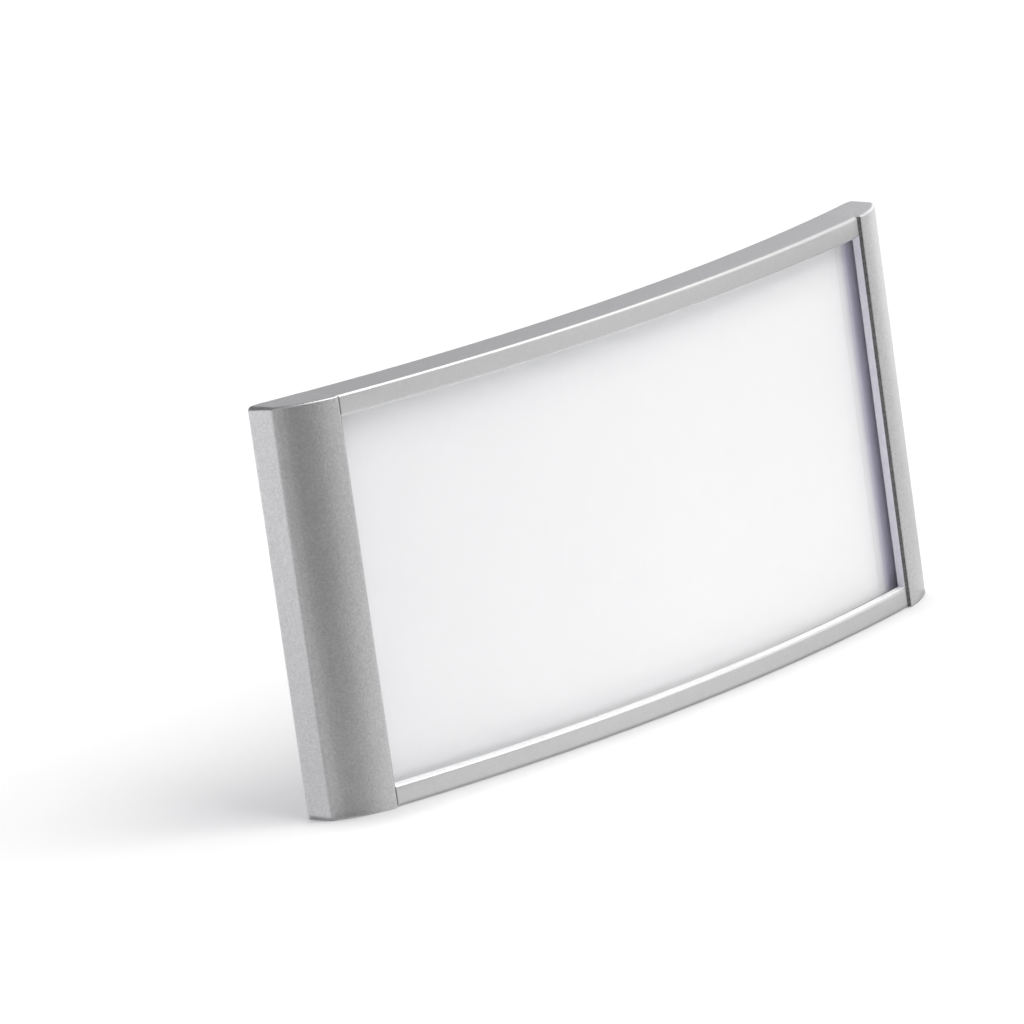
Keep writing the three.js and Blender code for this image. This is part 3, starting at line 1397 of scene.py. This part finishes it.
@dataclass(frozen=True)
class BowedSheet:
    """A bowed sheet in the rebate: the cover, the card or the back plate."""

    name: str
    front: float
    thickness: float
    margin: float
    edge_rounding: float
    finish: Finish
    slot: str
    node: str
    edge_steps: int = 3
    path_points: int = 121

    def section(self) -> list[PlanPoint]:
        """Section of the sheet as layer and height.

        Returns:
            The closed line.
        """
        back = self.front - self.thickness
        bottom = SIZES.sheet_bottom + self.margin
        top = SIZES.height - bottom
        corners = [(back, bottom), (self.front, bottom), (self.front, top), (back, top)]
        return Rounding.closed([(corner, self.edge_rounding) for corner in corners], self.edge_steps)

    def build(self) -> None:
        """Builds and dresses the sheet."""
        half_width = SIZES.half_sheet - self.margin
        piece = BowedSweep.make_piece(
            self.name, self.section(), half_width, self.front, 0.0, self.finish, self.path_points
        )
        MeshTools.hand_over(piece, self.slot, self.node)


@dataclass
class MagnetBar:
    """Plain fastener on the back: curved toward the plate, flat behind."""

    length: float = 45.0 * MM
    height: float = 13.0 * MM
    corner: float = 2.0 * MM
    edge: float = 0.35 * MM
    edge_steps: int = 3
    edge_angle: float = 50.0
    smooth_angle: float = 35.0
    corner_steps: int = 8
    longest_run: float = 1.2 * MM

    def face_line(self) -> list[PlanPoint]:
        """Outline of the bar seen from behind, with rounded corners.

        Returns:
            Closed line of (x, height) points.
        """
        x, z = self.length / 2, self.height / 2
        middle = SIZES.height / 2
        corners = [(-x, middle - z), (x, middle - z), (x, middle + z), (-x, middle + z)]
        line = Rounding.closed([(corner, self.corner) for corner in corners], self.corner_steps)
        dense: list[PlanPoint] = []
        for (x0, z0), (x1, z1) in zip(line, [*line[1:], line[0]]):
            parts = max(1, round(abs(x1 - x0) / self.longest_run))
            for part in range(parts):
                share = part / parts
                dense.append((x0 + (x1 - x0) * share, z0 + (z1 - z0) * share))
        return dense

    def build(self) -> None:
        """Builds and dresses the bar."""
        line = self.face_line()
        back_y = SIZES.bar_proud + SIZES.depth_shift
        bm = bmesh.new()
        front = [bm.verts.new((x, SIZES.bow_y(-SIZES.seat_gap, x), z)) for x, z in line]
        rear = [bm.verts.new((x, back_y, z)) for x, z in line]
        count = len(line)
        for i in range(count):
            j = (i + 1) % count
            bm.faces.new((front[i], front[j], rear[j], rear[i]))
        bm.faces.new(rear)
        self._fill_front(bm, front)
        piece = MeshTools.from_bmesh("magnet_bar_shell", bm)
        bevel = piece.modifiers.new("edges", "BEVEL")
        bevel.width = self.edge
        bevel.segments = self.edge_steps
        bevel.limit_method = "ANGLE"
        bevel.angle_limit = math.radians(self.edge_angle)
        MeshTools.freeze(piece)
        MeshTools.smooth(piece, self.smooth_angle)
        MeshTools.dress(piece, BAR_PLASTIC)
        MeshTools.hand_over(piece, "black_plastic", "magnet_bar")

    @staticmethod
    def _fill_front(bm: bmesh.types.BMesh, front: Sequence[bmesh.types.BMVert]) -> None:
        """Closes the curved front with strips between its lower and upper edge.

        Args:
            bm: Mesh that holds the front's rim.
            front: Vertices of the rim, in order.
        """
        ordered = sorted(front, key=lambda vert: (round(vert.co.x, 7), vert.co.z))
        columns: list[list[bmesh.types.BMVert]] = []
        for vert in ordered:
            if columns and abs(columns[-1][0].co.x - vert.co.x) < SAME_COLUMN:
                columns[-1].append(vert)
            else:
                columns.append([vert])
        for first, second in zip(columns, columns[1:]):
            corners = [first[0], second[0], second[-1], first[-1]]
            unique = list(dict.fromkeys(corners))
            if len(unique) >= 3:
                bm.faces.new(unique)
        for column in (columns[0], columns[-1]):
            if len(column) > 2:
                bm.faces.new(column)


@dataclass(frozen=True)
class SoftSun:
    """A soft light that is as strong over the whole floor."""

    name: str
    direction: Triple
    spread: float
    strength: float
    colour: Triple = (1.0, 1.0, 1.0)
    mirrored: bool = True

    def build(self) -> None:
        """Adds the light."""
        data = bpy.data.lights.new(self.name, "SUN")
        data.angle = math.radians(self.spread)
        data.energy = self.strength
        data.color = self.colour
        lamp = bpy.data.objects.new(self.name, data)
        lamp.visible_glossy = self.mirrored
        lamp.rotation_euler = Vector(self.direction).to_track_quat("Z", "Y").to_euler()
        bpy.context.scene.collection.objects.link(lamp)


@dataclass(frozen=True)
class Patch:
    """A round patch of the surroundings, begun and full at the cosines of two angles."""

    name: str
    aim: Triple
    begun: float
    full: float
    colour: Colour

    def mask(self, make: NodeHelper, direction: Socket) -> Socket:
        """Adds the patch's mask.

        Args:
            make: Helper of the world's tree.
            direction: Direction that is looked up.

        Returns:
            The mask, 1 inside the patch.
        """
        feeds = {0: direction, 1: Vector(self.aim).normalized()}
        facing = make.add("ShaderNodeVectorMath", feeds, operation="DOT_PRODUCT", label=self.name)
        return make.step(facing.outputs["Value"], self.begun, self.full)


@dataclass
class MirroredShade:
    """Painted shadow and painted light that the badge mirrors of the floor: darker behind and at its foot,
    brighter in front.

    The foot is the bowed strip of floor that the badge stands on.
    """

    half_size: float = 0.4
    lift: float = 0.02 * MM
    foot_bow: float = 4.6 * MM
    foot_front: float = 2.8 * MM
    half_foot: float = 2.1 * MM
    front_end: float = -4.0 * MM
    behind_start: float = 6.0 * MM
    contact_reach: float = 0.8 * MM
    contact_level: float = 0.35
    cast_reach: float = 120.0 * MM
    cast_level: float = 0.72
    near_reach: float = 120.0 * MM
    near_glow: float = 0.16

    def surface(self, make: NodeHelper) -> Socket:
        """Adds the nodes that paint shadow and light into what is mirrored.

        Args:
            make: Helper of the material's tree.

        Returns:
            The surface.
        """
        x, y, _ = make.split(make.add("ShaderNodeTexCoord").outputs["Object"])
        share = make.math("DIVIDE", x, SIZES.half_length)
        bow = make.math("MULTIPLY", make.math("MULTIPLY", share, share), self.foot_bow)
        middle = make.math("SUBTRACT", bow, self.foot_front)
        across = make.math("ABSOLUTE", make.math("SUBTRACT", y, middle))
        beside = make.math("SUBTRACT", across, self.half_foot)
        beyond = make.math("SUBTRACT", make.math("ABSOLUTE", x), SIZES.half_length)
        away = make.math("MAXIMUM", make.math("MAXIMUM", beside, beyond), 0.0)
        # Painted shadow at the badge's foot and a painted cast shadow, seen only in reflections.
        contact = make.spread(make.step(away, 0.0, self.contact_reach), self.contact_level, 1.0)
        cast = make.spread(make.step(away, 0.0, self.cast_reach), self.cast_level, 1.0)
        behind = make.step(y, self.front_end, self.behind_start)
        front = make.math("SUBTRACT", 1.0, behind)
        level = make.math("MULTIPLY", contact, make.plus(front, cast, behind))
        grey = make.add("ShaderNodeCombineColor", {0: level, 1: level, 2: level})
        clear = make.add("ShaderNodeBsdfTransparent", {"Color": grey.outputs["Color"]})
        # Painted light: a glow on the floor in front of the badge, where no lamp is.
        near = make.math("SUBTRACT", 1.0, make.step(away, 0.0, self.near_reach))
        strength = make.math("MULTIPLY", make.math("MULTIPLY", near, front), self.near_glow)
        glow = make.add("ShaderNodeEmission", {"Strength": strength})
        feeds = {0: clear.outputs["BSDF"], 1: glow.outputs["Emission"]}
        return make.add("ShaderNodeAddShader", feeds).outputs["Shader"]

    def build(self) -> None:
        """Lays a see-through sheet on the floor that only mirrored rays meet."""
        bm = bmesh.new()
        bmesh.ops.create_grid(bm, x_segments=4, y_segments=4, size=self.half_size)
        bmesh.ops.translate(bm, verts=bm.verts, vec=(0.0, 0.0, self.lift))
        shade = MeshTools.from_bmesh("mirrored_shade", bm)
        material = bpy.data.materials.new("mirrored shade")
        make = NodeHelper.cleared(material)
        make.add("ShaderNodeOutputMaterial", {"Surface": self.surface(make)})
        shade.data.materials.append(material)
        for ray in ("camera", "diffuse", "transmission", "shadow"):
            setattr(shade, f"visible_{ray}", False)


@dataclass
class Surroundings:
    """What the badge mirrors: a white table below, grey walls, windows and the dark side at the camera."""

    strength: float = 0.84
    walls: Colour = (0.33, 0.32, 0.375, 1.0)
    ceiling: Colour = (0.18, 0.17, 0.21, 1.0)
    table_left: Colour = (1.90, 1.88, 1.94, 1.0)
    table_right: Patch = Patch("table at the right", (0.75, -0.66, 0.0), 0.1, 0.95, (0.80, 0.80, 0.79, 1.0))
    wall_heights: tuple[float, float] = (-0.12, 0.16)
    ceiling_heights: tuple[float, float] = (0.25, 0.85)
    patches: tuple[Patch, ...] = (
        Patch("table in front", (0.6, -0.76, -0.24), 0.86, 0.985, (1.06, 1.06, 1.07, 1.0)),
        Patch("far table", (0.96, -0.2, -0.2), 0.84, 0.96, (0.62, 0.62, 0.62, 1.0)),
        Patch("table behind", (0.62, 0.75, -0.24), 0.78, 0.94, (0.55, 0.55, 0.56, 1.0)),
        Patch("left of the camera", (-0.9, -0.42, -0.12), 0.35, 0.93, (0.62, 0.62, 0.63, 1.0)),
        Patch("camera side", (-0.42, -0.91, -0.12), 0.875, 0.965, (0.06, 0.06, 0.06, 1.0)),
        Patch("behind", (-0.25, 0.72, 0.62), 0.6, 0.92, (0.08, 0.08, 0.085, 1.0)),
        Patch("behind at the right", (0.95, 0.28, 0.2), 0.83, 0.995, (2.02, 2.0, 2.06, 1.0)),
        Patch("right window", (0.8, -0.55, 0.25), 0.88, 0.97, (1.5, 1.5, 1.49, 1.0)),
        Patch("top window", (0.56, -0.33, 0.76), 0.86, 0.97, (2.4, 2.4, 2.3, 1.0)),
    )

    def build(self) -> None:
        """Builds the world, with each patch laid over the ones before it."""
        world = bpy.data.worlds.new("studio walls")
        make = NodeHelper.cleared(world)
        direction = make.add("ShaderNodeTexCoord").outputs["Generated"]
        height = make.split(direction)[2]
        right = self.table_right.mask(make, direction)
        table = make.mix(right, self.table_left, self.table_right.colour)
        upper = make.mix(make.step(height, *self.ceiling_heights), self.walls, self.ceiling)
        room = make.mix(make.step(height, *self.wall_heights), table, upper)
        for patch in self.patches:
            room = make.mix(patch.mask(make, direction), room, patch.colour)
        background = make.add("ShaderNodeBackground", {"Color": room, "Strength": self.strength})
        make.add("ShaderNodeOutputWorld", {"Surface": background.outputs["Background"]})
        bpy.context.scene.world = world


@dataclass
class Camera:
    """Camera at the photograph's angle to the badge, as a place and two directions."""

    lens: float = 305.4371
    sensor: float = 36.0
    place: Triple = (-0.481934, -0.497943, 0.176473)
    right: Triple = (0.698579, -0.702352, -0.136705)
    up: Triple = (0.253908, 0.064705, 0.965062)
    nearest: float = 0.01
    farthest: float = 20.0

    def build(self) -> None:
        """Sets the camera."""
        data = bpy.data.cameras.new("camera")
        data.sensor_width = self.sensor
        data.lens = self.lens
        data.clip_start, data.clip_end = self.nearest, self.farthest
        camera = bpy.data.objects.new("camera", data)
        right, up = Vector(self.right), Vector(self.up)
        turn = Matrix((right, up, right.cross(up))).transposed()
        camera.matrix_world = Matrix.Translation(Vector(self.place)) @ turn.to_4x4()
        bpy.context.scene.collection.objects.link(camera)
        bpy.context.scene.camera = camera


@dataclass
class Studio:
    """Pale floor, surroundings, soft lights and the camera."""

    floor_size: float = 6.0
    floor_colour: Colour = (0.9, 0.9, 0.9, 1.0)
    floor_roughness: float = 0.9
    floor_shine: float = 0.1
    suns: tuple[SoftSun, ...] = (
        SoftSun("key", (0.23, -0.62, 0.74), 44.0, 1.32, (1.0, 1.0, 0.98)),
        SoftSun("overhead", (0.02, 0.10, 0.99), 10.0, 1.25, mirrored=False),
    )

    def floor(self) -> None:
        """Builds the pale floor, which isn't part of the badge and isn't mirrored in it."""
        bm = bmesh.new()
        bmesh.ops.create_grid(bm, x_segments=8, y_segments=8, size=self.floor_size / 2)
        floor = MeshTools.from_bmesh("studio_floor", bm)
        material = bpy.data.materials.new("pale floor")
        make = NodeHelper.cleared(material)
        feeds = {
            "Base Color": self.floor_colour,
            "Roughness": self.floor_roughness,
            "Specular IOR Level": self.floor_shine,
        }
        shader = make.add("ShaderNodeBsdfPrincipled", feeds)
        make.add("ShaderNodeOutputMaterial", {"Surface": shader.outputs["BSDF"]})
        floor.data.materials.append(material)
        floor.visible_glossy = False

    def build(self) -> None:
        """Sets up the whole studio."""
        self.floor()
        MirroredShade().build()
        Surroundings().build()
        for sun in self.suns:
            sun.build()
        Camera().build()
        bpy.context.scene.view_settings.view_transform = "Standard"
        LOG.info("studio: floor, surroundings, lights and camera")


@dataclass
class NameBadge:
    """The whole badge."""

    sheets: tuple[BowedSheet, ...] = (
        BowedSheet(
            name="clear_cover_sheet",
            front=SIZES.cover_front,
            thickness=SIZES.cover_thickness,
            margin=0.0,
            edge_rounding=0.08 * MM,
            finish=COVER_PLASTIC,
            slot="clear_plastic",
            node="clear_cover",
        ),
        BowedSheet(
            name="white_insert_card",
            front=SIZES.card_front,
            thickness=SIZES.card_thickness,
            margin=SIZES.card_margin,
            edge_rounding=0.03 * MM,
            finish=CARD,
            slot="card",
            node="insert_card",
        ),
        BowedSheet(
            name="curved_back_plate",
            front=SIZES.plate_front,
            thickness=SIZES.plate_front,
            margin=0.0,
            edge_rounding=0.12 * MM,
            finish=PLATE_PLASTIC_PAINTED_SHADE,
            slot="grey_plastic",
            node="back_plate",
        ),
    )

    def build(self) -> None:
        """Builds every piece of the badge."""
        rails = [Rail(level) for level in Level]
        blocks = [EndBlock(end) for end in End]
        for piece in (*rails, *blocks, *self.sheets, MagnetBar()):
            piece.build()


def main() -> None:
    """Builds the badge and the studio."""
    logging.basicConfig(level=logging.INFO, format="%(name)s: %(message)s")
    NameBadge().build()
    Studio().build()


if __name__ == "__main__":
    main()
